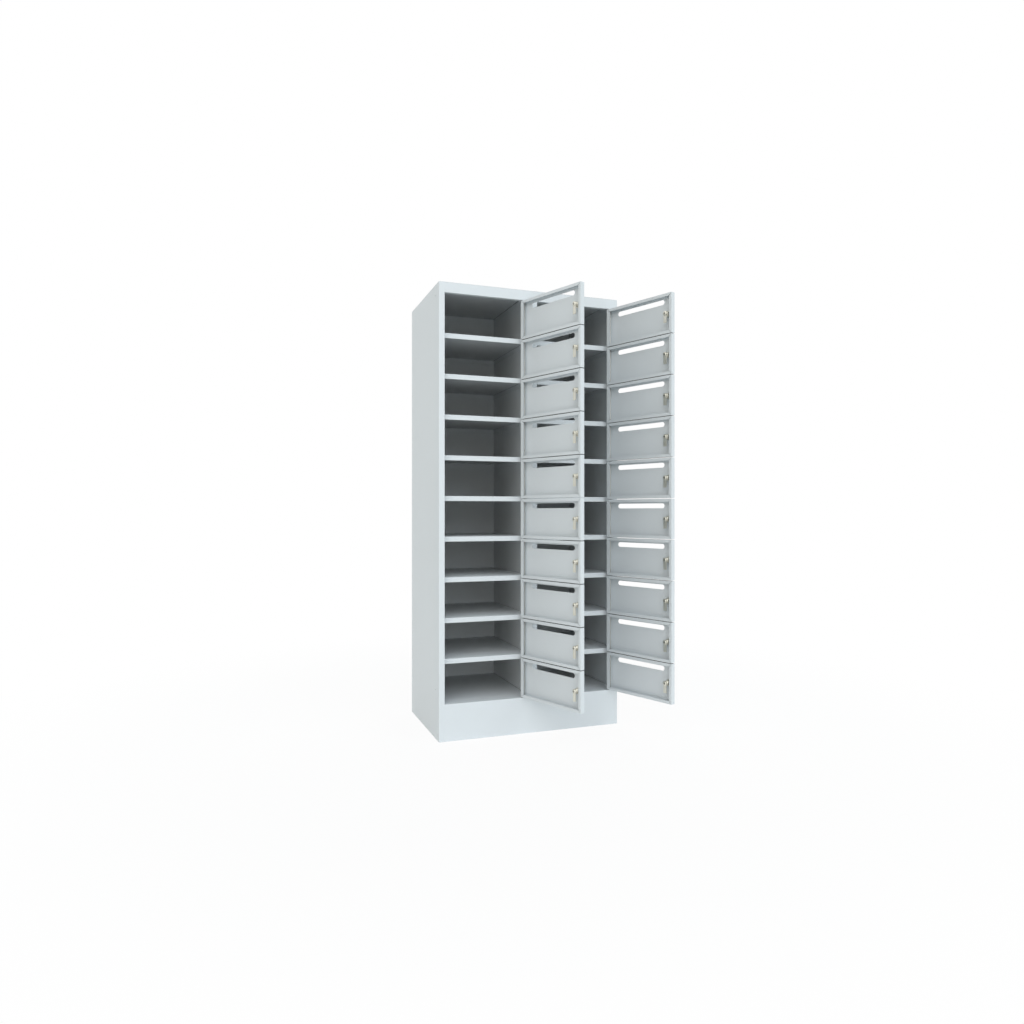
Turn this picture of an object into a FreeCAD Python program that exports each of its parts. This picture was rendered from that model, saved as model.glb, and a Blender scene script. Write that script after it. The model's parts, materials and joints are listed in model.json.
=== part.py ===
import FreeCAD, Part
import math
import os
import Sketcher

# Steel pigeonhole mail sorter: a two-column cabinet of folded sheet with ten lockable doors a column.
# Millimetres. The origin is the centre of the footprint on the floor: X to the right seen from the
# front, Y towards the back, Z up. The doors stand open, each on its own pivot axis.

os.makedirs("parts", exist_ok=True)
doc = FreeCAD.newDocument("MailSorter")

# Driving sizes, in millimetres and degrees.
driving = {
    # carcass
    "bodyWidth": 800,
    "bodyDepth": 500,
    "bodyTall": 1850,
    "gauge": 1,
    "sideStile": 23.5,
    "centreStile": 47,
    "plinthTall": 150,
    "headerTall": 42,
    "stiffenerLip": 14,
    "stopLip": 5,
    "stopClearance": 0.3,
    "panelFlange": 20,
    # neighbour-fixing holes in the side panels
    "joinRadius": 3.5,
    "joinSetback": 58,
    "joinRise": 50,
    "joinDrop": 44,
    # shelves
    "doorRows": 10,
    "shelfLip": 20,
    "shelfSetback": 29,
    # doors
    "doorGap": 3,
    "sideGap": 1.5,
    "doorDepth": 20,
    "doorReturn": 12,
    "hingeReturn": 17.5,
    "mitreGap": 2,
    "slotLength": 250,
    "slotTall": 20,
    "slotDrop": 28,
    "openAngle": 110,
    # pivots
    "pivotInset": 6,
    "pivotSetback": 4,
    "rodRadius": 2,
    "rodClearance": 0.05,
    "lugGauge": 1.5,
    "lugMargin": 2,
    # cam locks
    "lockInset": 29,
    "barrelAcross": 17,
    "barrelClearance": 0.1,
    "collarRadius": 11.5,
    "collarTall": 2,
    "camStandoff": 3,
    "camGauge": 2,
    "camWidth": 15,
    "camOverhang": 10,
}

sheet = doc.addObject("Spreadsheet::Sheet", "Sizes")
for row, (alias, size) in enumerate(driving.items(), 1):
    sheet.set(f"A{row}", alias)
    sheet.set(f"B{row}", str(size))
    sheet.setAlias(f"B{row}", alias)
doc.recompute()


def cell(alias):
    return f"Sizes.{alias}"


def value(text):
    """Number that an expression on the sheet gives now."""
    return float(sheet.evalExpression(text))


# Sizes that follow from the driving ones, as expressions on the sheet.
halfWidth = f"({cell('bodyWidth')} / 2)"
halfDepth = f"({cell('bodyDepth')} / 2)"
front = f"(-{halfDepth})"
gauge = cell("gauge")
halfCentre = f"({cell('centreStile')} / 2)"
openTop = f"({cell('bodyTall')} - {cell('headerTall')})"
openTall = f"({openTop} - {cell('plinthTall')})"
doorPitch = f"(({openTall} - {cell('doorGap')}) / {cell('doorRows')})"
doorTall = f"({doorPitch} - {cell('doorGap')})"
doorWide = f"({halfWidth} - {cell('sideStile')} - {halfCentre} - 2 * {cell('sideGap')})"
hingeEdge = cell("pivotInset")
freeEdge = f"({cell('pivotInset')} - {doorWide})"
outerFace = f"(-{cell('pivotSetback')})"
innerFace = f"({cell('doorDepth')} - {cell('pivotSetback')})"
stileDepth = f"({cell('doorDepth')} + {cell('stopClearance')} + {gauge})"
stileBack = f"({front} + {stileDepth})"
lipSheet = f"({stileBack} - {gauge})"
panelBack = f"({halfDepth} - 2 * {gauge})"
pivotY = f"({front} + {cell('pivotSetback')})"
pivotX = {
    "l": f"(-{halfCentre} - {cell('sideGap')} - {cell('pivotInset')})",
    "r": f"({halfWidth} - {cell('sideStile')} - {cell('sideGap')} - {cell('pivotInset')})",
}
lockX = f"({freeEdge} + {cell('lockInset')})"
lockZ = f"({doorTall} / 2)"
camSeat = f"({innerFace} + {cell('camStandoff')})"
rodHole = f"(2 * ({cell('rodRadius')} + {cell('rodClearance')}))"


def planeOf(body, role):
    return next(f for f in body.Origin.OriginFeatures if f.Role == role)


def newBody(name):
    body = doc.addObject("PartDesign::Body", name)
    body.Label = name
    return body


def newSketch(body, role, offset="0"):
    """Sketch on one of the body's origin planes, moved along the plane's normal."""
    sketch = body.newObject("Sketcher::SketchObject", f"{body.Name}Sketch")
    sketch.AttachmentSupport = [(planeOf(body, role), "")]
    sketch.MapMode = "FlatFace"
    sketch.setExpression("AttachmentOffset.Base.z", offset)
    return sketch


def bind(sketch, kind, refs, text):
    """Dimension a sketch and tie the dimension to the sheet."""
    number = sketch.addConstraint(Sketcher.Constraint(kind, *refs, value(text)))
    sketch.setExpression(f"Constraints[{number}]", text)


def pin(sketch, edge, end, x, y):
    bind(sketch, "DistanceX", (-1, 1, edge, end), x)
    bind(sketch, "DistanceY", (-1, 1, edge, end), y)


def addPolygon(sketch, corners):
    """Closed outline through corners given as pairs of expressions."""
    points = [FreeCAD.Vector(value(x), value(y), 0) for x, y in corners]
    first = sketch.GeometryCount
    count = len(points)
    for i in range(count):
        sketch.addGeometry(Part.LineSegment(points[i], points[(i + 1) % count]))
    for i in range(count):
        sketch.addConstraint(Sketcher.Constraint("Coincident", first + i, 2, first + (i + 1) % count, 1))
    for i, (x, y) in enumerate(corners):
        pin(sketch, first + i, 1, x, y)


def addRectangle(sketch, x0, y0, x1, y1):
    addPolygon(sketch, [(x0, y0), (x1, y0), (x1, y1), (x0, y1)])


def addCircle(sketch, x, y, radius):
    centre = FreeCAD.Vector(value(x), value(y), 0)
    edge = sketch.addGeometry(Part.Circle(centre, FreeCAD.Vector(0, 0, 1), value(radius)))
    pin(sketch, edge, 3, x, y)
    bind(sketch, "Radius", (edge,), radius)


def addStadium(sketch, x, y, long, tall):
    """Slot along x with full round ends."""
    normal = FreeCAD.Vector(0, 0, 1)
    radius = value(tall) / 2
    reach = value(long) / 2 - radius
    for side in (1, -1):
        centre = FreeCAD.Vector(value(x) + side * reach, value(y), 0)
        start = -side * math.pi / 2
        sketch.addGeometry(Part.ArcOfCircle(Part.Circle(centre, normal, radius), start, start + math.pi))
    for side in (1, -1):
        start = FreeCAD.Vector(value(x) + side * reach, value(y) + side * radius, 0)
        end = FreeCAD.Vector(value(x) - side * reach, value(y) + side * radius, 0)
        sketch.addGeometry(Part.LineSegment(start, end))
    right, left, upper, lower = range(4)
    for one, other in ((right, upper), (upper, left), (left, lower), (lower, right)):
        sketch.addConstraint(Sketcher.Constraint("Tangent", one, 2, other, 1))
    sketch.addConstraint(Sketcher.Constraint("Equal", right, left))
    pin(sketch, right, 3, f"{x} + ({long} - {tall}) / 2", y)
    pin(sketch, left, 3, f"{x} - ({long} - {tall}) / 2", y)
    bind(sketch, "Radius", (right,), f"{tall} / 2")


def addOctagon(sketch, x, y, across):
    """Eight-sided outline, given by the distance between its flats."""
    near = f"{across} / 2"
    far = f"{across} / 2 * tan(22.5deg)"
    signs = ((1, -1, 0), (1, 1, 0), (1, 1, 1), (-1, 1, 1), (-1, 1, 0), (-1, -1, 0), (-1, -1, 1), (1, -1, 1))
    corners = []
    for signX, signY, upright in signs:
        alongX, alongY = (far, near) if upright else (near, far)
        corners.append((f"{x} + {signX} * ({alongX})", f"{y} + {signY} * ({alongY})"))
    addPolygon(sketch, corners)


def addFold(sketch, path, side):
    """Edge view of a folded strip: a path along the grid and the same path one gauge to its side.

    side is 1 for a strip on the path's left and -1 for one on its right."""
    places = [(value(x), value(y)) for x, y in path]
    normals = []
    for (ax, ay), (bx, by) in zip(places, places[1:]):
        length = math.hypot(bx - ax, by - ay)
        normals.append((-side * round((by - ay) / length), side * round((bx - ax) / length)))
    inner = []
    for i, (x, y) in enumerate(path):
        near = {normals[max(i - 1, 0)], normals[min(i, len(normals) - 1)]}
        shiftX = sum(n[0] for n in near)
        shiftY = sum(n[1] for n in near)
        inner.append((f"{x} + {shiftX} * {gauge}", f"{y} + {shiftY} * {gauge}"))
    addPolygon(sketch, list(path) + inner[::-1])


def pad(body, sketch, length, reverse=False):
    feature = body.newObject("PartDesign::Pad", f"{body.Name}Pad")
    feature.Profile = sketch
    feature.setExpression("Length", length)
    feature.Reversed = reverse
    doc.recompute()
    return feature


def pocket(body, sketch, length, reverse=False):
    before = body.Shape.Volume
    feature = body.newObject("PartDesign::Pocket", f"{body.Name}Pocket")
    feature.Profile = sketch
    feature.setExpression("Length", length)
    feature.Reversed = reverse
    doc.recompute()
    if body.Shape.Volume > before - 1e-6:
        raise RuntimeError(f"a pocket of {body.Label} cuts nothing")
    return feature


def setPlace(piece, x="0", y="0", z="0", turn="0"):
    place = f"placement(vector({x}; {y}; {z}); rotation(vector(0; 0; 1); {turn}))"
    piece.setExpression("Placement", place)


def group(label, members):
    """Node that holds one or more solids."""
    compound = doc.addObject("Part::Compound", label)
    compound.Label = label
    compound.Links = members
    return compound


# Side panels: one sheet folded into the outer skin, the face of the outer stile, the return that the
# doors close against and a rear flange.

def sidePanel(label, hand):
    body = newBody(label)
    skin = f"{hand} * {halfWidth}"
    stileEdge = f"{hand} * ({halfWidth} - {cell('sideStile')})"
    # The left stile stops the free edges of its doors. The right one carries hinges, and its lip
    # turns into the hollow of the stile.
    lipTip = f"{stileEdge} + {cell('stopLip') if hand < 0 else cell('stiffenerLip')}"
    path = [
        (f"{skin} - {hand} * {cell('panelFlange')}", halfDepth),
        (skin, halfDepth),
        (skin, front),
        (stileEdge, front),
    ]
    sketch = newSketch(body, "XY_Plane")
    if hand < 0:
        path += [(stileEdge, lipSheet), (lipTip, lipSheet)]
        addFold(sketch, path, 1)
    else:
        path += [(stileEdge, stileBack), (lipTip, stileBack)]
        addFold(sketch, path, -1)
    pad(body, sketch, f"{cell('bodyTall')} - {gauge}")
    if hand < 0:
        # the stop lip only runs beside the doors
        for bottom, tall in (("0", cell("plinthTall")), (openTop, cell("headerTall"))):
            notch = newSketch(body, "XY_Plane", bottom)
            addRectangle(notch, stileEdge, lipSheet, lipTip, stileBack)
            pocket(body, notch, tall, reverse=True)
    holes = newSketch(body, "YZ_Plane", skin)
    for height in (f"{cell('plinthTall')} + {cell('joinRise')}", f"{cell('bodyTall')} - {cell('joinDrop')}"):
        addCircle(holes, f"{front} + {cell('joinSetback')}", height, cell("joinRadius"))
    pocket(body, holes, gauge, reverse=hand < 0)
    return body


# Centre stile: a hat-shaped channel between plinth and header. Its left return carries the hinges of
# the left column and its right one stops the doors of the right column.

def centreStile():
    body = newBody("centre_stile")
    sketch = newSketch(body, "XY_Plane", cell("plinthTall"))
    path = [
        (f"-{halfCentre} + {cell('stiffenerLip')}", stileBack),
        (f"-{halfCentre}", stileBack),
        (f"-{halfCentre}", front),
        (halfCentre, front),
        (halfCentre, lipSheet),
        (f"{halfCentre} + {cell('stopLip')}", lipSheet),
    ]
    addFold(sketch, path, 1)
    pad(body, sketch, openTall)
    return body


# Divider: the wall between the columns, flanged in front to the stile's lip.


def dividerPanel():
    body = newBody("divider_panel")
    sketch = newSketch(body, "XY_Plane", cell("plinthTall"))
    face = f"{gauge} / 2"
    path = [(f"{face} - {cell('panelFlange')}", stileBack), (face, stileBack), (face, panelBack)]
    addFold(sketch, path, 1)
    pad(body, sketch, f"{cell('bodyTall')} - {gauge} - {cell('plinthTall')}")
    return body


# Back panel: a flat sheet held between the rear flanges and the flanges of the trays.

def backPanel():
    body = newBody("back_panel")
    sketch = newSketch(body, "XY_Plane")
    side = f"({halfWidth} - {gauge})"
    addRectangle(sketch, f"-{side}", panelBack, side, f"{panelBack} + {gauge}")
    pad(body, sketch, f"{cell('bodyTall')} - {gauge}")
    return body


# Header and plinth: channels between the outer stiles, flush with them.

def crossChannel(label, bottom, top):
    body = newBody(label)
    reach = f"({halfWidth} - {cell('sideStile')})"
    sketch = newSketch(body, "YZ_Plane", f"-{reach}")
    path = [(lipSheet, top), (front, top), (front, bottom), (lipSheet, bottom)]
    addFold(sketch, path, 1)
    pad(body, sketch, f"2 * {reach}")
    return body


# Trays: a sheet with turned-down flanges all round, open below.


def tray(body, x0, y0, x1, y1, top, flange):
    plate = newSketch(body, "XY_Plane", top)
    addRectangle(plate, x0, y0, x1, y1)
    pad(body, plate, gauge, reverse=True)
    ring = newSketch(body, "XY_Plane", f"{top} - {gauge}")
    addRectangle(ring, x0, y0, x1, y1)
    addRectangle(ring, f"{x0} + {gauge}", f"{y0} + {gauge}", f"{x1} - {gauge}", f"{y1} - {gauge}")
    pad(body, ring, f"{flange} - {gauge}", reverse=True)


def basePanel():
    body = newBody("base_panel")
    side = f"({halfWidth} - {gauge})"
    tray(body, f"(-{side})", stileBack, side, panelBack, cell("plinthTall"), cell("panelFlange"))
    return body


# Top panel: the cover, with a flange inside each side panel.


def topPanel():
    body = newBody("top_panel")
    cover = newSketch(body, "XY_Plane", cell("bodyTall"))
    addRectangle(cover, f"-{halfWidth}", front, halfWidth, halfDepth)
    pad(body, cover, gauge, reverse=True)
    side = f"({halfWidth} - {gauge})"
    flanges = newSketch(body, "XY_Plane", f"{cell('bodyTall')} - {gauge}")
    addRectangle(flanges, f"-{side}", stileBack, f"-{side} + {gauge}", panelBack)
    addRectangle(flanges, f"{side} - {gauge}", stileBack, side, panelBack)
    pad(body, flanges, f"{cell('panelFlange')} - {gauge}", reverse=True)
    return body


# Base support: a Z-shaped rail under the divider, from plinth to back panel, standing on the floor.


def baseSupport():
    body = newBody("base_support")
    supportFront = f"({stileBack} + {gauge})"
    sketch = newSketch(body, "XZ_Plane", f"-{supportFront}")
    web = f"{gauge} / 2"
    under = f"{cell('plinthTall')} - 2 * {gauge}"
    path = [(f"-{cell('panelFlange')}", "0"), (web, "0"), (web, under), (cell("panelFlange"), under)]
    addFold(sketch, path, 1)
    pad(body, sketch, f"{panelBack} - {gauge} - {supportFront}", reverse=True)
    return body


# Shelves: trays from wall to divider, one behind each gap between two doors.


def shelf():
    body = newBody("shelf")
    long = f"({halfWidth} - {gauge} - {gauge} / 2)"
    shelfFront = f"({front} + {cell('shelfSetback')})"
    tray(body, "0", shelfFront, long, panelBack, "0", cell("shelfLip"))
    return body


# Pivots: a rod down each column, held by a lug in every gap between two doors.


def pivotLug():
    body = newBody("pivot_lug")
    sketch = newSketch(body, "XY_Plane")
    root = f"{cell('pivotInset')} + {cell('sideGap')}"
    nose = f"({cell('rodRadius')} + {cell('lugMargin')})"
    corner = f"({nose} - {cell('lugMargin')})"
    addPolygon(sketch, [(root, f"-{nose}"), (root, nose), (f"-{corner}", nose), (f"-{nose}", corner),
                        (f"-{nose}", f"-{corner}"), (f"-{corner}", f"-{nose}")])
    addOctagon(sketch, "0", "0", rodHole)
    pad(body, sketch, cell("lugGauge"))
    return body


def pivotRod():
    body = newBody("pivot_rod")
    sketch = newSketch(body, "XY_Plane")
    addCircle(sketch, "0", "0", cell("rodRadius"))
    pad(body, sketch, openTall)
    return body


# Door leaf: one sheet folded into a pan, with returns behind its rim, a mail slot, the cut-out of the
# lock and the holes of the pivot rod. Doors and locks are drawn closed, about their pivot axis.


def rimOpening():
    """Outline inside the returns, which a tapered mitre parts at each corner of the pan."""
    rim = cell("doorReturn")
    hingeRim = cell("hingeReturn")
    corners = []
    for x, inX, width, z, inZ in (
        (freeEdge, 1, rim, "0", 1),
        (hingeEdge, -1, hingeRim, "0", 1),
        (hingeEdge, -1, hingeRim, doorTall, -1),
        (freeEdge, 1, rim, doorTall, -1),
    ):
        upright = (f"{x} + {inX} * {width}", f"{z} + {inZ} * ({rim} + {cell('mitreGap')})")
        tip = (f"{x} + {inX} * 2 * {gauge}", f"{z} + {inZ} * 2 * {gauge}")
        level = (f"{x} + {inX} * ({width} + {cell('mitreGap')})", f"{z} + {inZ} * {rim}")
        corners += [upright, tip, level] if inX == inZ else [level, tip, upright]
    return corners


def doorLeaf():
    body = newBody("door_leaf")
    outline = newSketch(body, "XZ_Plane", f"-{outerFace}")
    addRectangle(outline, freeEdge, "0", hingeEdge, doorTall)
    pad(body, outline, cell("doorDepth"), reverse=True)
    inside = newSketch(body, "XZ_Plane", f"-{innerFace}")
    addRectangle(inside, f"{freeEdge} + {gauge}", gauge, f"{hingeEdge} - {gauge}", f"{doorTall} - {gauge}")
    pocket(body, inside, f"{cell('doorDepth')} - {gauge}", reverse=True)
    returns = newSketch(body, "XZ_Plane", f"-{innerFace}")
    addRectangle(returns, freeEdge, "0", hingeEdge, doorTall)
    addPolygon(returns, rimOpening())
    pad(body, returns, gauge)
    slot = newSketch(body, "XZ_Plane", f"-{outerFace}")
    middle = f"({hingeEdge} + {freeEdge}) / 2"
    addStadium(slot, middle, f"{doorTall} - {cell('slotDrop')}", cell("slotLength"), cell("slotTall"))
    pocket(body, slot, gauge)
    cutout = newSketch(body, "XZ_Plane", f"-{outerFace}")
    addOctagon(cutout, lockX, lockZ, f"({cell('barrelAcross')} + 2 * {cell('barrelClearance')})")
    pocket(body, cutout, gauge)
    pivot = newSketch(body, "XY_Plane")
    addOctagon(pivot, "0", "0", rodHole)
    pocket(body, pivot, doorTall, reverse=True)
    return body


# Cam lock: the barrel stays in the door, clamped by its collar, and the cam turns on its inner end.
# The cam hangs down when the door is free and turns towards the free edge to lock it.


def lockBarrel():
    body = newBody("lock_barrel")
    collar = newSketch(body, "XZ_Plane", f"-{outerFace}")
    addCircle(collar, lockX, lockZ, cell("collarRadius"))
    pad(body, collar, cell("collarTall"))
    shank = newSketch(body, "XZ_Plane", f"-{outerFace}")
    addOctagon(shank, lockX, lockZ, cell("barrelAcross"))
    pad(body, shank, f"{cell('doorDepth')} + {cell('camStandoff')}", reverse=True)
    return body


def lockCam():
    body = newBody("lock_cam")
    sketch = newSketch(body, "XZ_Plane", f"-{camSeat}")
    half = f"{cell('camWidth')} / 2"
    clip = f"{cell('camWidth')} / 4"
    head = f"{lockZ} + {half}"
    tip = f"{lockZ} - {cell('lockInset')} - {cell('camOverhang')}"
    left = f"{lockX} - {half}"
    right = f"{lockX} + {half}"
    addPolygon(sketch, [(left, tip), (right, tip), (right, f"{head} - {clip}"), (f"{right} - {clip}", head),
                        (f"{left} + {clip}", head), (left, f"{head} - {clip}")])
    pad(body, sketch, cell("camGauge"), reverse=True)
    return body


nodes = [
    sidePanel("side_panel_left", -1),
    sidePanel("side_panel_right", 1),
    centreStile(),
    dividerPanel(),
    backPanel(),
    topPanel(),
    basePanel(),
    baseSupport(),
    crossChannel("top_rail", openTop, f"{cell('bodyTall')} - {gauge}"),
    crossChannel("plinth_panel", "0", cell("plinthTall")),
]

shelfMaster = shelf()
lugMaster = pivotLug()
rodMaster = pivotRod()
leafMaster = doorLeaf()
barrelMaster = lockBarrel()
camMaster = lockCam()
rows = round(value(cell("doorRows")))


def copyOf(master, name, x, y, z):
    copy = group(name, [master])
    setPlace(copy, x, y, z)
    return copy


shelfEnd = {"l": f"{gauge} - {halfWidth}", "r": f"{gauge} / 2"}
sideName = {"l": "left", "r": "right"}
for side in ("l", "r"):
    shelves = []
    for row in range(1, rows):
        gapMiddle = f"{cell('plinthTall')} + {cell('doorGap')} / 2 + ({cell('doorRows')} - {row}) * {doorPitch}"
        top = f"{gapMiddle} + {cell('shelfLip')} / 2"
        shelves.append(copyOf(shelfMaster, f"shelf_{side}{row:02d}", shelfEnd[side], "0", top))
    nodes.append(group(f"shelves_{sideName[side]}", shelves))
    lugs = []
    for row in range(rows + 1):
        gapBottom = f"{cell('plinthTall')} + {row} * {doorPitch}"
        level = f"{gapBottom} + ({cell('doorGap')} - {cell('lugGauge')}) / 2"
        lugs.append(copyOf(lugMaster, f"lug_{side}{row:02d}", pivotX[side], pivotY, level))
    nodes.append(group(f"pivot_lugs_{sideName[side]}", lugs))
    nodes.append(copyOf(rodMaster, f"pivot_rod_{sideName[side]}", pivotX[side], pivotY, cell("plinthTall")))

for side in ("l", "r"):
    for row in range(1, rows + 1):
        bottom = f"{cell('plinthTall')} + {cell('doorGap')} + ({cell('doorRows')} - {row}) * {doorPitch}"
        for kind, members in (("door", [leafMaster, barrelMaster]), ("lock", [camMaster])):
            piece = group(f"{kind}_{side}{row:02d}", members)
            setPlace(piece, pivotX[side], pivotY, bottom, cell("openAngle"))
            nodes.append(piece)

doc.recompute()
for item in doc.Objects:
    if "Invalid" in item.State or "Error" in item.State:
        raise RuntimeError(f"{item.Label} did not build")
for node in nodes:
    if node.Shape.isNull() or not node.Shape.isValid():
        raise RuntimeError(f"{node.Label} has no valid shape")
    node.Shape.exportStep(f"parts/{node.Label}.step")
print(len(nodes), "nodes,", sum(len(node.Shape.Solids) for node in nodes), "solids")
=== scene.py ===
import bmesh
import bpy
import json
import math
from mathutils import Matrix, Vector

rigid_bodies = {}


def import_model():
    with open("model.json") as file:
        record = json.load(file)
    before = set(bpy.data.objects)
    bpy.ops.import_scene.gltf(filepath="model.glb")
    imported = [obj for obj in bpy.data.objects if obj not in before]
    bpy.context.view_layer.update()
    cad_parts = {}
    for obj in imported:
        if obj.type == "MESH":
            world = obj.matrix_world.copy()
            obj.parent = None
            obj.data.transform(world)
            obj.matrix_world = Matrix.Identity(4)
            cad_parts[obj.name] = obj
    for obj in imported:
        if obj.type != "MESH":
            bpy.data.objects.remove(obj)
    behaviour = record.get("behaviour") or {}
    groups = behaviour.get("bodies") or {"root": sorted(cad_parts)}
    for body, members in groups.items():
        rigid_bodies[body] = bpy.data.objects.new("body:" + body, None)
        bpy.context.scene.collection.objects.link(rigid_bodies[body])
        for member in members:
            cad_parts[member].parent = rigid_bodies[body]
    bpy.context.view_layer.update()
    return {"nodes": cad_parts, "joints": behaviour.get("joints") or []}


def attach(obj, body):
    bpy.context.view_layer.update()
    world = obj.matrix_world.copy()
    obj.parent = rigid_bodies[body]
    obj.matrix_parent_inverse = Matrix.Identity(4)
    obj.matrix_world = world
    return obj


# Pigeonhole mail sorter standing open in a pale studio: powder coat on the sheet metal, worked-up cam
# locks on every door, and the floor, lamps and camera. Metres, with Z up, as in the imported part.

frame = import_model()
nodes = frame["nodes"]
joints = frame["joints"]


# Node helpers

plainWhite = (1, 1, 1, 1)


def newGroup(name, inputs, outputs):
    group = bpy.data.node_groups.new(name, "ShaderNodeTree")
    for label, kind, start in inputs:
        socket = group.interface.new_socket(name=label, in_out="INPUT", socket_type="NodeSocket" + kind)
        socket.default_value = start
    for label, kind in outputs:
        group.interface.new_socket(name=label, in_out="OUTPUT", socket_type="NodeSocket" + kind)
    return group


def feedNode(tree, node, inputs):
    # each input takes either a value or the socket that feeds it
    for key, feed in inputs.items():
        if isinstance(feed, bpy.types.NodeSocket):
            tree.links.new(feed, node.inputs[key])
        else:
            node.inputs[key].default_value = feed


def addNode(tree, kind, inputs=None, **settings):
    node = tree.nodes.new(kind)
    for key, setting in settings.items():
        setattr(node, key, setting)
    feedNode(tree, node, inputs or {})
    return node


def addGroup(tree, group, **inputs):
    return addNode(tree, "ShaderNodeGroup", inputs, node_tree=group)


def addMath(tree, operation, first, second, clamp=False):
    feeds = {0: first, 1: second}
    return addNode(tree, "ShaderNodeMath", feeds, operation=operation, use_clamp=clamp).outputs[0]


def addMix(tree, factor, first, second, blend="MIX"):
    # the colour sockets of a Mix node are numbers 6 and 7, and its colour output is number 2
    feeds = {0: factor, 6: first, 7: second}
    return addNode(tree, "ShaderNodeMix", feeds, data_type="RGBA", blend_type=blend).outputs[2]


def addVaried(tree, base, mask, spread):
    # base where the mask is one half, and half the spread less or more at 0 or 1
    stray = addMath(tree, "MULTIPLY", addMath(tree, "SUBTRACT", mask, 0.5), spread)
    return addMath(tree, "ADD", stray, base)


def addBump(tree, height, depth):
    return addNode(tree, "ShaderNodeBump", {"Height": height, "Distance": depth}).outputs[0]


def smoothRange(tree, feeds):
    return addNode(tree, "ShaderNodeMapRange", feeds, interpolation_type="SMOOTHSTEP").outputs[0]


def objectNoise(tree, cell, detail=2.0):
    # noise whose lumps are about cell across, along the object's own coordinates
    place = addNode(tree, "ShaderNodeTexCoord").outputs["Object"]
    feeds = {"Vector": place, "Scale": 1 / cell, "Detail": detail}
    return addNode(tree, "ShaderNodeTexNoise", feeds).outputs["Fac"]


def faceNormal(tree):
    return addNode(tree, "ShaderNodeNewGeometry").outputs["Normal"]


def upwardShare(tree):
    # 1 on faces that look straight up, 0 on upright ones and -1 on those that look down
    return addNode(tree, "ShaderNodeSeparateXYZ", {0: faceNormal(tree)}).outputs["Z"]


def seenDirectly(tree):
    # 1 for what the camera sees, also in metal or through glass, and 0 for what only gives light
    rays = addNode(tree, "ShaderNodeLightPath")
    seen = addMath(tree, "MAXIMUM", rays.outputs["Is Camera Ray"], rays.outputs["Is Glossy Ray"])
    return addMath(tree, "MAXIMUM", seen, rays.outputs["Is Transmission Ray"])


def newMaterial(name):
    material = bpy.data.materials.new(name)
    material.use_nodes = True
    return material, material.node_tree, material.node_tree.nodes["Principled BSDF"]


# Shared effects

drift = {
    "broadCell": 0.45,
    "cloudyCell": 0.06,
    "broadShare": 0.7,  # of the whole change, with the cloudy one as the rest
}


def coatDriftGroup():
    # slow changes of shade over a sprayed surface
    inputs = [("Colour", "Color", plainWhite), ("Amount", "Float", 0.02)]
    group = newGroup("coatDrift", inputs, [("Colour", "Color")])
    begin = addNode(group, "NodeGroupInput")
    broadNoise = objectNoise(group, drift["broadCell"], detail=1.0)
    cloudyNoise = objectNoise(group, drift["cloudyCell"], detail=3.0)
    broad = addMath(group, "MULTIPLY", broadNoise, drift["broadShare"])
    cloudy = addMath(group, "MULTIPLY", cloudyNoise, 1 - drift["broadShare"])
    level = addVaried(group, 1.0, addMath(group, "ADD", broad, cloudy), begin.outputs["Amount"])
    shade = addNode(group, "ShaderNodeCombineColor", {0: level, 1: level, 2: level}).outputs[0]
    mixed = addMix(group, 1.0, begin.outputs["Colour"], shade, "MULTIPLY")
    addNode(group, "NodeGroupOutput", {"Colour": mixed})
    return group


peel = {
    "pebbleCell": 0.0016,
    "rippleCell": 0.007,
}


def orangePeelGroup():
    # the fine pebbling of cured powder, with a longer ripple under it
    group = newGroup("orangePeel", [("Ripple", "Float", 0.35)], [("Height", "Float"), ("Grain", "Float")])
    begin = addNode(group, "NodeGroupInput")
    pebble = objectNoise(group, peel["pebbleCell"])
    rippleNoise = objectNoise(group, peel["rippleCell"], detail=1.0)
    ripple = addMath(group, "MULTIPLY", rippleNoise, begin.outputs["Ripple"])
    height = addMath(group, "ADD", pebble, ripple)
    addNode(group, "NodeGroupOutput", {"Height": height, "Grain": pebble})
    return group


edgeWearAndHighlightPlan = {
    "samples": 4,
    "gain": 5.0,  # the mask is full where the rounded normal leans 37 degrees or more from the face
    "patchCell": 0.012,
    "patchGain": 1.2,
    "patchLift": 0.1,
}


def edgeWearAndHighlightGroup():
    # 1 on corners and folds, broken up by noise, and 0 on flat faces: where edges are lighter from wear,
    # and on the powder coat also as a painted highlight
    group = newGroup("edgeWearAndHighlight", [("Reach", "Float", 0.0012)], [("Mask", "Float")])
    begin = addNode(group, "NodeGroupInput")
    feeds = {"Radius": begin.outputs["Reach"]}
    rounded = addNode(group, "ShaderNodeBevel", feeds, samples=edgeWearAndHighlightPlan["samples"]).outputs[0]
    feeds = {0: rounded, 1: faceNormal(group)}
    facing = addNode(group, "ShaderNodeVectorMath", feeds, operation="DOT_PRODUCT").outputs["Value"]
    bent = addMath(group, "MULTIPLY", addMath(group, "SUBTRACT", 1.0, facing), edgeWearAndHighlightPlan["gain"], clamp=True)
    patchNoise = objectNoise(group, edgeWearAndHighlightPlan["patchCell"], detail=3.0)
    patch = addMath(group, "MULTIPLY", patchNoise, edgeWearAndHighlightPlan["patchGain"])
    broken = addMath(group, "ADD", patch, edgeWearAndHighlightPlan["patchLift"], clamp=True)
    addNode(group, "NodeGroupOutput", {"Mask": addMath(group, "MULTIPLY", bent, broken)})
    return group


dustFall = {
    "levelFrom": 0.9,  # the upward share at which dust begins to stay on a face
    "patchCell": 0.12,
}


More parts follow.
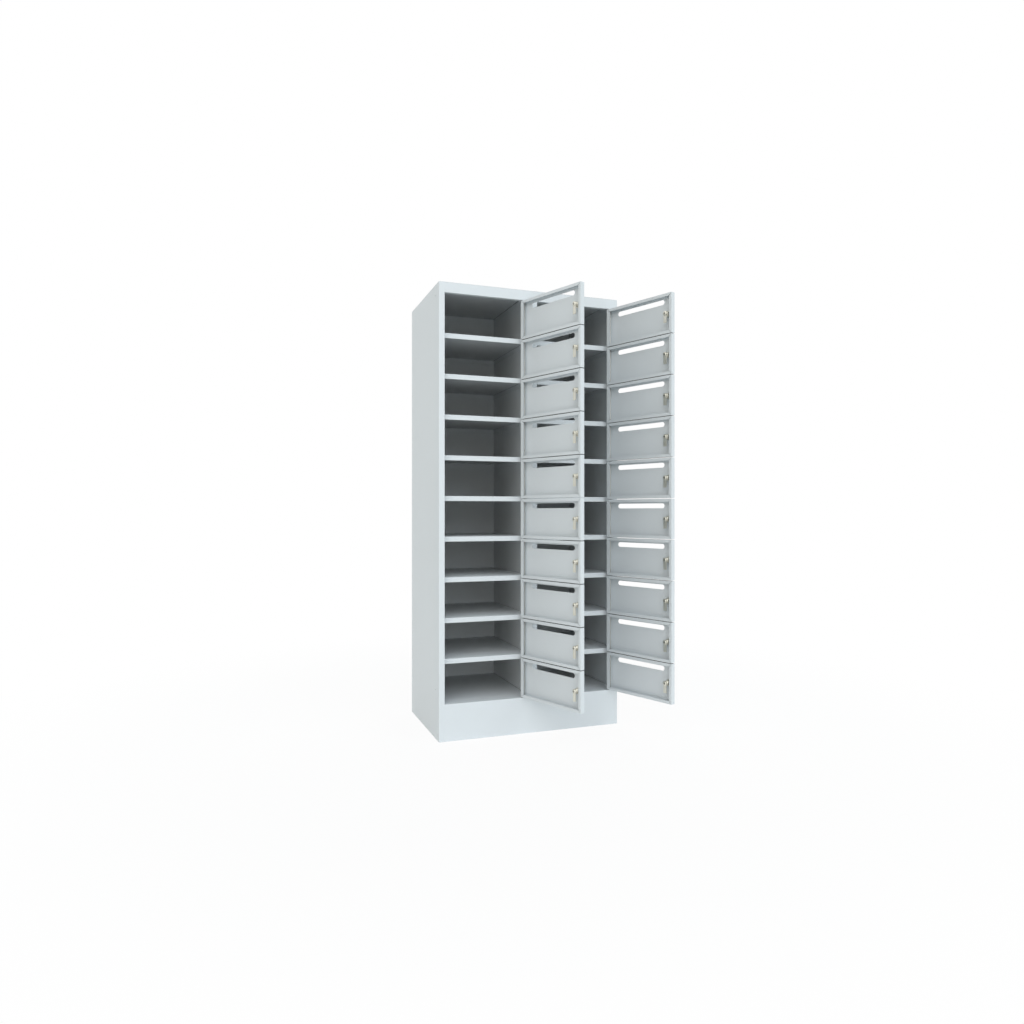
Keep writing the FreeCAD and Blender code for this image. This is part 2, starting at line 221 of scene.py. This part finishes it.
def settledDustGroup():
    # 1 where dust lies: upward faces, in soft patches
    group = newGroup("settledDust", [("Patch", "Float", 0.5)], [("Mask", "Float")])
    begin = addNode(group, "NodeGroupInput")
    above = addMath(group, "SUBTRACT", upwardShare(group), dustFall["levelFrom"])
    level = addMath(group, "MULTIPLY", above, 1 / (1 - dustFall["levelFrom"]), clamp=True)
    patchNoise = objectNoise(group, dustFall["patchCell"], detail=4.0)
    patch = addMath(group, "MULTIPLY", patchNoise, begin.outputs["Patch"], clamp=True)
    addNode(group, "NodeGroupOutput", {"Mask": addMath(group, "MULTIPLY", level, patch)})
    return group


# settings of the painted shade in gaps and folds, from ambient occlusion
creviceShadePlan = {
    "samples": 6,
    "gain": 1.4,
}


def creviceShadeGroup():
    # 1 on level faces deep in gaps and folds, where shade falls, and 0 on open or upright faces: the mask
    # of a painted shade from ambient occlusion
    group = newGroup("creviceShade", [("Reach", "Float", 0.006)], [("Mask", "Float")])
    begin = addNode(group, "NodeGroupInput")
    feeds = {"Distance": begin.outputs["Reach"]}
    openness = addNode(group, "ShaderNodeAmbientOcclusion", feeds, samples=creviceShadePlan["samples"]).outputs["AO"]
    shut = addMath(group, "SUBTRACT", 1.0, openness)
    closed = addMath(group, "MULTIPLY", shut, creviceShadePlan["gain"], clamp=True)
    level = addNode(group, "ShaderNodeMath", {0: upwardShare(group)}, operation="ABSOLUTE").outputs[0]
    addNode(group, "NodeGroupOutput", {"Mask": addMath(group, "MULTIPLY", closed, level)})
    return group


scratch = {
    "detail": 3.0,
    "squeeze": 0.04,  # of the noise along X and Y, which draws its lumps out into level lines
}


def hairlinesGroup():
    # fine scratches that run level round the object, so many to the metre up its Z axis
    group = newGroup("hairlines", [("Density", "Float", 900.0)], [("Mask", "Float")])
    begin = addNode(group, "NodeGroupInput")
    place = addNode(group, "ShaderNodeTexCoord").outputs["Object"]
    feeds = {"Vector": place, "Scale": (scratch["squeeze"], scratch["squeeze"], 1)}
    drawn = addNode(group, "ShaderNodeMapping", feeds).outputs[0]
    feeds = {"Vector": drawn, "Scale": begin.outputs["Density"], "Detail": scratch["detail"]}
    lines = addNode(group, "ShaderNodeTexNoise", feeds).outputs["Fac"]
    addNode(group, "NodeGroupOutput", {"Mask": lines})
    return group


coatDrift = coatDriftGroup()
orangePeel = orangePeelGroup()
edgeWearAndHighlight = edgeWearAndHighlightGroup()
settledDust = settledDustGroup()
creviceShade = creviceShadeGroup()
hairlines = hairlinesGroup()
print("shared effects:", len(bpy.data.node_groups))


# Materials

powderCoat = {
    "colour": (0.715, 0.765, 0.79, 1),
    "edgeColour": (0.78, 0.82, 0.84, 1),  # the coat is thin over a fold, and the lighter edge is partly wear and partly a painted highlight
    "dustColour": (0.60, 0.60, 0.58, 1),
    # painted shade: the near-black colour that darkens gaps and folds
    "creviceShadeColour": (0.035, 0.037, 0.036, 1),
    "drift": 0.05,
    "edgeWearAndHighlightAmount": 0.4,
    "dustAmount": 0.25,
    "creviceShadeAmount": 0.96,
    "roughness": 0.46,
    "roughnessSpread": 0.10,
    "peelDepth": 0.00003,
    "nearBounce": 0.03,
    "farBounce": 0.16,
    "cabinetFarShade": (0.41, 0.41, 0.405, 1),
    "doorFarShade": (0.66, 0.70, 0.72, 1),
}


def powderCoatMaterial(name, farShade):
    # farShade is a darker coat that only light bouncing across a compartment sees: it paints shade into
    # the compartments, while folds and corners still light each other
    material, tree, shader = newMaterial(name)
    coat = powderCoat
    colour = addGroup(tree, coatDrift, Colour=coat["colour"], Amount=coat["drift"]).outputs["Colour"]
    # lighter folds and corners: partly wear, partly a painted highlight
    rubbed = addMath(tree, "MULTIPLY", addGroup(tree, edgeWearAndHighlight).outputs["Mask"], coat["edgeWearAndHighlightAmount"])
    colour = addMix(tree, rubbed, colour, coat["edgeColour"])
    dust = addMath(tree, "MULTIPLY", addGroup(tree, settledDust).outputs["Mask"], coat["dustAmount"])
    colour = addMix(tree, dust, colour, coat["dustColour"])
    # painted shade: level faces in gaps and folds turn near-black by ambient occlusion
    shaded = addGroup(tree, creviceShade).outputs["Mask"]
    creviceShadeMix = addMath(tree, "MULTIPLY", shaded, coat["creviceShadeAmount"])
    colour = addMix(tree, creviceShadeMix, colour, coat["creviceShadeColour"])
    rays = addNode(tree, "ShaderNodeLightPath")
    travelled = rays.outputs["Ray Length"]
    feeds = {"Value": travelled, "From Min": coat["nearBounce"], "From Max": coat["farBounce"]}
    indirect = addMath(tree, "MULTIPLY", rays.outputs["Is Diffuse Ray"], smoothRange(tree, feeds))
    colour = addMix(tree, indirect, colour, farShade)
    pebbled = addGroup(tree, orangePeel)
    rough = addVaried(tree, coat["roughness"], pebbled.outputs["Grain"], coat["roughnessSpread"])
    rough = addMath(tree, "ADD", rough, dust)
    bump = addBump(tree, pebbled.outputs["Height"], coat["peelDepth"])
    feedNode(tree, shader, {"Base Color": colour, "Roughness": rough, "Normal": bump})
    return material


platedSteel = {
    "colour": (0.60, 0.62, 0.62, 1),
    "stain": (0.52, 0.49, 0.40, 1),  # the yellow cast of passivated zinc
    "stainCell": 0.03,
    "stainAmount": 0.6,
    "roughness": 0.34,
    "roughnessSpread": 0.2,
    "lineDensity": 700.0,
    "lineDepth": 0.00001,
}


def platedSteelMaterial():
    material, tree, shader = newMaterial("platedSteel")
    zinc = platedSteel
    stained = objectNoise(tree, zinc["stainCell"], detail=3.0)
    cast = addMath(tree, "MULTIPLY", stained, zinc["stainAmount"])
    colour = addMix(tree, cast, zinc["colour"], zinc["stain"])
    lines = addGroup(tree, hairlines, Density=zinc["lineDensity"]).outputs["Mask"]
    rough = addVaried(tree, zinc["roughness"], lines, zinc["roughnessSpread"])
    bump = addBump(tree, lines, zinc["lineDepth"])
    feedNode(tree, shader, {"Base Color": colour, "Roughness": rough, "Normal": bump, "Metallic": 1.0})
    return material


nickel = {
    "colour": (0.70, 0.71, 0.65, 1),
    "warm": (0.68, 0.65, 0.53, 1),  # where the nickel has yellowed
    "warmCell": 0.008,
    "warmAmount": 0.7,
    "edgeColour": (0.80, 0.80, 0.74, 1),
    "edgeReach": 0.0006,
    "roughness": 0.36,
    "roughnessSpread": 0.16,
    "grainCell": 0.0007,
    "grainDepth": 0.000012,
    "threadTintAndShade": (0.80, 0.78, 0.74, 1),  # threads are darker than turned faces, and the darker thread also paints the shadow behind the cam
}


def nickelMaterial(name, tint=plainWhite):
    material, tree, shader = newMaterial(name)
    metal = nickel
    warmed = objectNoise(tree, metal["warmCell"], detail=3.0)
    cast = addMath(tree, "MULTIPLY", warmed, metal["warmAmount"])
    colour = addMix(tree, cast, metal["colour"], metal["warm"])
    rubbed = addGroup(tree, edgeWearAndHighlight, Reach=metal["edgeReach"]).outputs["Mask"]
    colour = addMix(tree, rubbed, colour, metal["edgeColour"])
    colour = addMix(tree, 1.0, colour, tint, "MULTIPLY")
    grain = objectNoise(tree, metal["grainCell"], detail=3.0)
    rough = addVaried(tree, metal["roughness"], grain, metal["roughnessSpread"])
    bump = addBump(tree, grain, metal["grainDepth"])
    feedNode(tree, shader, {"Base Color": colour, "Roughness": rough, "Normal": bump, "Metallic": 1.0})
    return material


recess = {
    "deepShadowAndGrease": (0.012, 0.011, 0.010, 1),
    "paleShadowAndGrease": (0.05, 0.045, 0.036, 1),
    "smearCell": 0.001,
    "roughness": 0.45,
    "roughnessRise": 0.3,
    "roughnessCell": 0.0008,
}


def recessMaterial():
    # the shadowed, near-black bottom of a keyway or of a screw's cross: a painted shadow, with old grease
    # in it
    material, tree, shader = newMaterial("darkRecess")
    colour = addMix(tree, objectNoise(tree, recess["smearCell"]), recess["deepShadowAndGrease"], recess["paleShadowAndGrease"])
    rise = addMath(tree, "MULTIPLY", objectNoise(tree, recess["roughnessCell"]), recess["roughnessRise"])
    rough = addMath(tree, "ADD", rise, recess["roughness"])
    feedNode(tree, shader, {"Base Color": colour, "Roughness": rough})
    return material


cabinetMaterial = powderCoatMaterial("cabinetCoat", powderCoat["cabinetFarShade"])
doorMaterial = powderCoatMaterial("doorCoat", powderCoat["doorFarShade"])
steelMaterial = platedSteelMaterial()
lockMaterial = nickelMaterial("lockNickel")
# the darker thread is partly its own tone and partly a painted shadow behind the cam
threadMaterial = nickelMaterial("lockThread", nickel["threadTintAndShade"])
darkMaterial = recessMaterial()
print("materials:", len(bpy.data.materials))


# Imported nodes: softened edges and their finish

sheetEdge = {
    "join": 0.00001,
    "radius": 0.0003,
    "doorRadius": 0.00005,  # by a door's pivot holes, close to its folds, a wider edge would cross itself
    "segments": 2,
    "sharperThan": math.radians(35),
}


def softenEdges(node, radius):
    weld = node.modifiers.new("join", "WELD")
    weld.merge_threshold = sheetEdge["join"]
    rounded = node.modifiers.new("roundEdges", "BEVEL")
    rounded.width = radius
    rounded.segments = sheetEdge["segments"]
    rounded.limit_method = "ANGLE"
    rounded.angle_limit = sheetEdge["sharperThan"]
    rounded.use_clamp_overlap = True
    rounded.loop_slide = False
    # flat faces stay flat up to their rounded edges
    evened = node.modifiers.new("evenNormals", "WEIGHTED_NORMAL")
    evened.keep_sharp = True


finishes = {"pivot_rod_": steelMaterial, "lock_": lockMaterial, "door_": doorMaterial}

for name, node in nodes.items():
    finish = next((f for start, f in finishes.items() if name.startswith(start)), cabinetMaterial)
    node.data.materials.clear()
    node.data.materials.append(finish)
    softenEdges(node, sheetEdge["doorRadius" if name.startswith("door_") else "radius"])
print("finished nodes:", len(nodes))


# Modelling helpers

modelling = {
    "mergeWithin": 0.000001,
    "rimShare": 0.99,  # a point past this share of a half height lies on the rim
    "flatFacing": 0.999,  # a normal past this share along an axis counts as facing that way
    "standOff": 0.0001,  # between a height that sorts faces and the faces themselves
}


def selectOnly(piece):
    bpy.ops.object.select_all(action="DESELECT")
    bpy.context.view_layer.objects.active = piece
    piece.select_set(True)


def startPiece(name, add, **settings):
    # a new primitive, alone in the selection
    bpy.ops.object.select_all(action="DESELECT")
    add(**settings)
    piece = bpy.context.object
    piece.name = name
    return piece


def startDisc(name, sides, radius, height, middle):
    return startPiece(name, bpy.ops.mesh.primitive_cylinder_add, vertices=sides, radius=radius,
                      depth=height, location=(0, 0, middle))


def startBar(name, size, middle, turn=0.0):
    # a bar centred on the lock's axis, for cutting
    bar = startPiece(name, bpy.ops.mesh.primitive_cube_add, size=1, location=(0, 0, middle),
                     rotation=(0, 0, turn))
    bar.scale = size
    return bar


def selectFaces(piece, test):
    # in edit mode, the faces whose middle and normal pass the test
    bpy.ops.mesh.select_mode(type="FACE")
    bpy.ops.mesh.select_all(action="DESELECT")
    mesh = bmesh.from_edit_mesh(piece.data)
    for face in mesh.faces:
        face.select = test(face.calc_center_median(), face.normal)
    bmesh.update_edit_mesh(piece.data)


def selectEdges(piece, test):
    # in edit mode, the edges whose two ends both pass the test
    bpy.ops.mesh.select_mode(type="EDGE")
    bpy.ops.mesh.select_all(action="DESELECT")
    mesh = bmesh.from_edit_mesh(piece.data)
    for edge in mesh.edges:
        edge.select = all(test(v.co) for v in edge.verts)
    bmesh.update_edit_mesh(piece.data)


def roundRim(piece, test, width, segments):
    # bevels the edges whose two ends both pass the test
    bpy.ops.object.mode_set(mode="EDIT")
    selectEdges(piece, test)
    bpy.ops.mesh.bevel(offset=width, segments=segments, affect="EDGES")
    bpy.ops.object.mode_set(mode="OBJECT")


def cutWith(piece, cutter, operation="DIFFERENCE"):
    selectOnly(piece)
    cut = piece.modifiers.new("cut", "BOOLEAN")
    cut.operation = operation
    cut.solver = "EXACT"
    cut.object = cutter
    bpy.ops.object.modifier_apply(modifier=cut.name)
    bpy.data.objects.remove(cutter)


def finishPiece(piece, finish, smoothBelow=35):
    # outward faces, its material, smooth shading and its place in the mesh
    selectOnly(piece)
    bpy.ops.object.transform_apply(location=True, rotation=True, scale=True)
    bpy.ops.object.mode_set(mode="EDIT")
    bpy.ops.mesh.select_all(action="SELECT")
    bpy.ops.mesh.remove_doubles(threshold=modelling["mergeWithin"])
    bpy.ops.mesh.normals_make_consistent(inside=False)
    bpy.ops.object.mode_set(mode="OBJECT")
    piece.data.materials.clear()
    piece.data.materials.append(finish)
    bpy.ops.object.shade_smooth_by_angle(angle=math.radians(smoothBelow))
    return piece


def darkenWell(piece, bottom, top, reach):
    # the faces of a cut, between two heights and within reach of the axis, take the dark finish, a
    # painted shadow in the cut
    piece.data.materials.append(darkMaterial)
    for face in piece.data.polygons:
        if bottom < face.center.z < top and face.center.xy.length < reach:
            face.material_index = 1


# Cam lock, about its own axis: the sheet's outer face is at outerFace, the cam's seat at zero and the
# room is on the side of positive Z. X points to the door's free edge.

lockPlan = {
    "outerFace": -0.023,
    "innerFace": -0.022,
    "camTop": 0.002,
    "wellMargin": 1.02,  # a cut's own faces lie within this many times its half length
}

barrel = {
    "rootRadius": 0.00926,
    "crestRadius": 0.0096,
    "pitch": 0.001,
    "sides": 36,
    "intoCam": 0.00005,
    "smoothBelow": 60,
}


def barrelMaster():
    # threads as rings, from the door sheet to the cam's seat
    turns = round(-lockPlan["innerFace"] / barrel["pitch"]) - 1
    wider = barrel["crestRadius"] / barrel["rootRadius"]
    halfTurn = {"value": (0, 0, barrel["pitch"] / 2)}
    land = {"value": (0, 0, barrel["pitch"] + barrel["intoCam"])}
    piece = startPiece("barrelMaster", bpy.ops.mesh.primitive_circle_add, vertices=barrel["sides"],
                       radius=barrel["rootRadius"], location=(0, 0, lockPlan["innerFace"]),
                       fill_type="NGON")
    bpy.ops.object.mode_set(mode="EDIT")
    bpy.ops.mesh.select_mode(type="FACE")
    bpy.ops.mesh.select_all(action="SELECT")
    for turn in range(turns):
        bpy.ops.mesh.extrude_region_move(TRANSFORM_OT_translate=halfTurn)
        bpy.ops.transform.resize(value=(wider, wider, 1))
        bpy.ops.mesh.extrude_region_move(TRANSFORM_OT_translate=halfTurn)
        bpy.ops.transform.resize(value=(1 / wider, 1 / wider, 1))
    bpy.ops.mesh.extrude_region_move(TRANSFORM_OT_translate=land)
    bpy.ops.object.mode_set(mode="OBJECT")
    return finishPiece(piece, threadMaterial, barrel["smoothBelow"])


nut = {
    "sides": 6,
    "acrossFlats": 0.024,
    "thickness": 0.004,
    "crownSides": 48,
    "crownRadius": 0.0131,
    "crownBevel": 0.0012,
    "crownSegments": 1,
    "smoothBelow": 20,
}


def nutMaster():
    # a hexagon with its corners turned down
    middle = lockPlan["innerFace"] + nut["thickness"] / 2
    rim = nut["thickness"] / 2 * modelling["rimShare"]
    crown = startDisc("nutCrown", nut["crownSides"], nut["crownRadius"], nut["thickness"], middle)
    roundRim(crown, lambda co: co.z > rim, nut["crownBevel"], nut["crownSegments"])
    corner = nut["acrossFlats"] / 2 / math.cos(math.pi / nut["sides"])
    piece = startDisc("nutMaster", nut["sides"], corner, nut["thickness"], middle)
    cutWith(piece, crown, "INTERSECT")
    return finishPiece(piece, lockMaterial, nut["smoothBelow"])


bezel = {
    "sides": 56,
    "radius": 0.0122,
    "height": 0.0026,
    "round": 0.0010,
    "roundSegments": 3,
    "rim": 0.0030,
    "recess": 0.0004,
    "smoothBelow": 40,
}


def bezelMaster():
    # the cap of the collar on the door's outer face, with a dished middle
    middle = lockPlan["outerFace"] - bezel["height"] / 2
    rim = -bezel["height"] / 2 * modelling["rimShare"]
    facing = -modelling["flatFacing"]
    piece = startDisc("bezelMaster", bezel["sides"], bezel["radius"], bezel["height"], middle)
    roundRim(piece, lambda co: co.z < rim, bezel["round"], bezel["roundSegments"])
    bpy.ops.object.mode_set(mode="EDIT")
    selectFaces(piece, lambda centre, normal: normal.z < facing and centre.z < rim)
    bpy.ops.mesh.inset(thickness=bezel["rim"] - bezel["round"])
    bpy.ops.mesh.inset(thickness=bezel["recess"])
    bpy.ops.transform.translate(value=(0, 0, bezel["recess"]))
    bpy.ops.object.mode_set(mode="OBJECT")
    return finishPiece(piece, lockMaterial, bezel["smoothBelow"])


plug = {
    "sides": 48,
    "radius": 0.0078,
    "height": 0.0012,
    "round": 0.0004,
    "roundSegments": 2,
    "keyLong": 0.0086,
    "keyWide": 0.0017,
    "keyWard": 0.0030,
    "keyDeep": 0.0009,
    "smoothBelow": 30,
}


def plugMaster():
    # the face of the key plug, which turns with the cam, and its keyway
    seat = lockPlan["outerFace"] - bezel["height"] + bezel["recess"]
    front = seat - plug["height"]
    rim = -plug["height"] / 2 * modelling["rimShare"]
    middle = seat - plug["height"] / 2
    piece = startDisc("plugMaster", plug["sides"], plug["radius"], plug["height"], middle)
    roundRim(piece, lambda co: co.z < rim, plug["round"], plug["roundSegments"])
    cutWith(piece, startBar("keyway", (plug["keyWide"], plug["keyLong"], plug["keyDeep"] * 2), front))
    cutWith(piece, startBar("ward", (plug["keyWard"], plug["keyWide"], plug["keyDeep"] * 2), front))
    finishPiece(piece, lockMaterial, plug["smoothBelow"])
    standOff = modelling["standOff"]
    darkenWell(piece, front + standOff, seat - standOff, plug["keyLong"] / 2 * lockPlan["wellMargin"])
    return piece


fixing = {
    "washerSides": 48,
    "washerRadius": 0.0098,
    "washerHeight": 0.0009,
    "washerRound": 0.0003,
    "washerSegments": 2,
    "headSides": 40,
    "headRadius": 0.0068,
    "headHeight": 0.0026,
    "headRound": 0.0012,
    "headSegments": 4,
    "crossLong": 0.0095,
    "crossWide": 0.0018,
    "crossDeep": 0.0013,
    "smoothBelow": 30,
}


def fixingMaster():
    # the washer and the cross-head screw that hold the cam
    washerTop = lockPlan["camTop"] + fixing["washerHeight"]
    washer = startDisc("washer", fixing["washerSides"], fixing["washerRadius"], fixing["washerHeight"],
                       washerTop - fixing["washerHeight"] / 2)
    roundRim(washer, lambda co: co.z > 0, fixing["washerRound"], fixing["washerSegments"])
    finishPiece(washer, lockMaterial)
    headTop = washerTop + fixing["headHeight"]
    head = startDisc("fixingMaster", fixing["headSides"], fixing["headRadius"], fixing["headHeight"],
                     headTop - fixing["headHeight"] / 2)
    roundRim(head, lambda co: co.z > 0, fixing["headRound"], fixing["headSegments"])
    for turn in (0, math.pi / 2):
        size = (fixing["crossLong"], fixing["crossWide"], fixing["crossDeep"] * 2)
        cutWith(head, startBar("crossBar", size, headTop, turn))
    finishPiece(head, lockMaterial, fixing["smoothBelow"])
    standOff = modelling["standOff"]
    wellFloor = headTop - fixing["crossDeep"]
    reach = fixing["crossLong"] / 2 * lockPlan["wellMargin"]
    darkenWell(head, wellFloor - standOff, headTop - standOff, reach)
    selectOnly(head)
    washer.select_set(True)
    bpy.ops.object.join()
    return head


def lockPlace(joint):
    # the cam seat of a lock joint, with Z along its axis and X to the door's free edge
    along = Vector(joint["axis"]).normalized()
    up = Vector((0, 0, 1))
    across = up.cross(along)
    place = Matrix((across, up, along)).transposed().to_4x4()
    place.translation = Vector(joint["pos_m"])
    return place


def copyTo(master, name, place, body):
    piece = bpy.data.objects.new(name, master.data.copy())
    piece.data.transform(place)
    bpy.context.scene.collection.objects.link(piece)
    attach(piece, body)


doorPieces = {"lockBarrel": barrelMaster(), "lockNut": nutMaster(), "lockBezel": bezelMaster()}
camPieces = {"lockPlug": plugMaster(), "camFixing": fixingMaster()}

lockJoints = [joint for joint in joints if joint["child"].startswith("lock_")]
for joint in lockJoints:
    door = joint["parent"].removeprefix("door_")
    place = lockPlace(joint)
    for kind, master in doorPieces.items():
        copyTo(master, f"{kind}_{door}", place, joint["parent"])
    for kind, master in camPieces.items():
        copyTo(master, f"{kind}_{door}", place, joint["child"])
for master in (*doorPieces.values(), *camPieces.values()):
    bpy.data.objects.remove(master)
print("locks dressed:", len(lockJoints))


# Camera

view = {
    "place": (-1.155, -3.180, 0.924),
    "tilt": 90.0,  # level
    "turn": -20.0,
    "lens": 26.42,
    "sensor": 36.0,
}

facing = (math.radians(view["tilt"]), 0, math.radians(view["turn"]))
bpy.ops.object.camera_add(location=view["place"], rotation=facing)
camera = bpy.context.object
camera.data.lens = view["lens"]
camera.data.sensor_width = view["sensor"]
bpy.context.scene.camera = camera


# Floor

studioFloor = {
    "sides": 96,
    "radius": 14.0,
    "paint": (0.92, 0.92, 0.92, 1),
    "drift": 0.04,
    "roughness": 0.9,
    "shine": 0.1,
    "nearWhite": 0.92,
    "farWhite": 1.0,
    "nearEdge": 1.2,
    "farEdge": 2.6,
}


def floorMaterial():
    # seen by the camera and by reflections it is almost white and keeps the object's shadow, and it turns
    # wholly white away from the object
    material, tree, shader = newMaterial("studioFloor")
    plan = studioFloor
    paint = addGroup(tree, coatDrift, Colour=plan["paint"], Amount=plan["drift"]).outputs["Colour"]
    feeds = {"Base Color": paint, "Roughness": plan["roughness"], "Specular IOR Level": plan["shine"]}
    feedNode(tree, shader, feeds)
    place = addNode(tree, "ShaderNodeTexCoord").outputs["Object"]
    away = addNode(tree, "ShaderNodeVectorMath", {0: place}, operation="LENGTH").outputs["Value"]
    feeds = {"Value": away, "From Min": plan["nearEdge"], "From Max": plan["farEdge"],
             "To Min": plan["nearWhite"], "To Max": plan["farWhite"]}
    amount = addMath(tree, "MULTIPLY", seenDirectly(tree), smoothRange(tree, feeds))
    glow = addNode(tree, "ShaderNodeEmission", {"Color": plainWhite, "Strength": 1.0})
    mixed = addNode(tree, "ShaderNodeMixShader", {0: amount, 1: shader.outputs[0], 2: glow.outputs[0]})
    feedNode(tree, tree.nodes["Material Output"], {"Surface": mixed.outputs[0]})
    return material


floor = startPiece("studioFloor", bpy.ops.mesh.primitive_circle_add, vertices=studioFloor["sides"],
                   radius=studioFloor["radius"], fill_type="NGON", location=(0, 0, 0))
floor.data.materials.append(floorMaterial())


# Daylight room: white where it is seen, soft grey where it lights

room = {
    "lightColour": (0.94, 1.0, 0.96, 1),
    "lightStrength": 0.42,
}

world = bpy.data.worlds.new("studioRoom")
bpy.context.scene.world = world
world.use_nodes = True
roomTree = world.node_tree
roomTree.nodes.clear()
softFeeds = {"Color": room["lightColour"], "Strength": room["lightStrength"]}
soft = addNode(roomTree, "ShaderNodeBackground", softFeeds).outputs[0]
white = addNode(roomTree, "ShaderNodeBackground", {"Color": plainWhite, "Strength": 1.0}).outputs[0]
both = addNode(roomTree, "ShaderNodeMixShader", {0: seenDirectly(roomTree), 1: soft, 2: white})
addNode(roomTree, "ShaderNodeOutputWorld", {"Surface": both.outputs[0]})


# Lamps: broad skylights with no falloff, so that the bottom of the cabinet is lit as its top is

lamps = {
    "frontSky": {"place": (0, -4.0, 4.0), "spread": 80, "strength": 1.66, "colour": (0.88, 0.93, 1.0)},
    "leftSky": {"place": (-3.5, -3.5, 1.2), "spread": 80, "strength": 0.56, "colour": (0.98, 0.78, 0.66)},
    "backSky": {"place": (3.0, 4.0, 2.5), "spread": 60, "strength": 0.80, "colour": (0.95, 0.98, 1.0)},
}

for name, lamp in lamps.items():
    bpy.ops.object.light_add(type="SUN", location=lamp["place"])
    light = bpy.context.object
    light.name = name
    light.data.angle = math.radians(lamp["spread"])
    light.data.energy = lamp["strength"]
    light.data.color = lamp["colour"]
    light.rotation_euler = (-light.location).to_track_quat("-Z", "Y").to_euler()
print("camera, floor and", len(lamps), "lamps")

bpy.context.scene.view_settings.view_transform = "Standard"
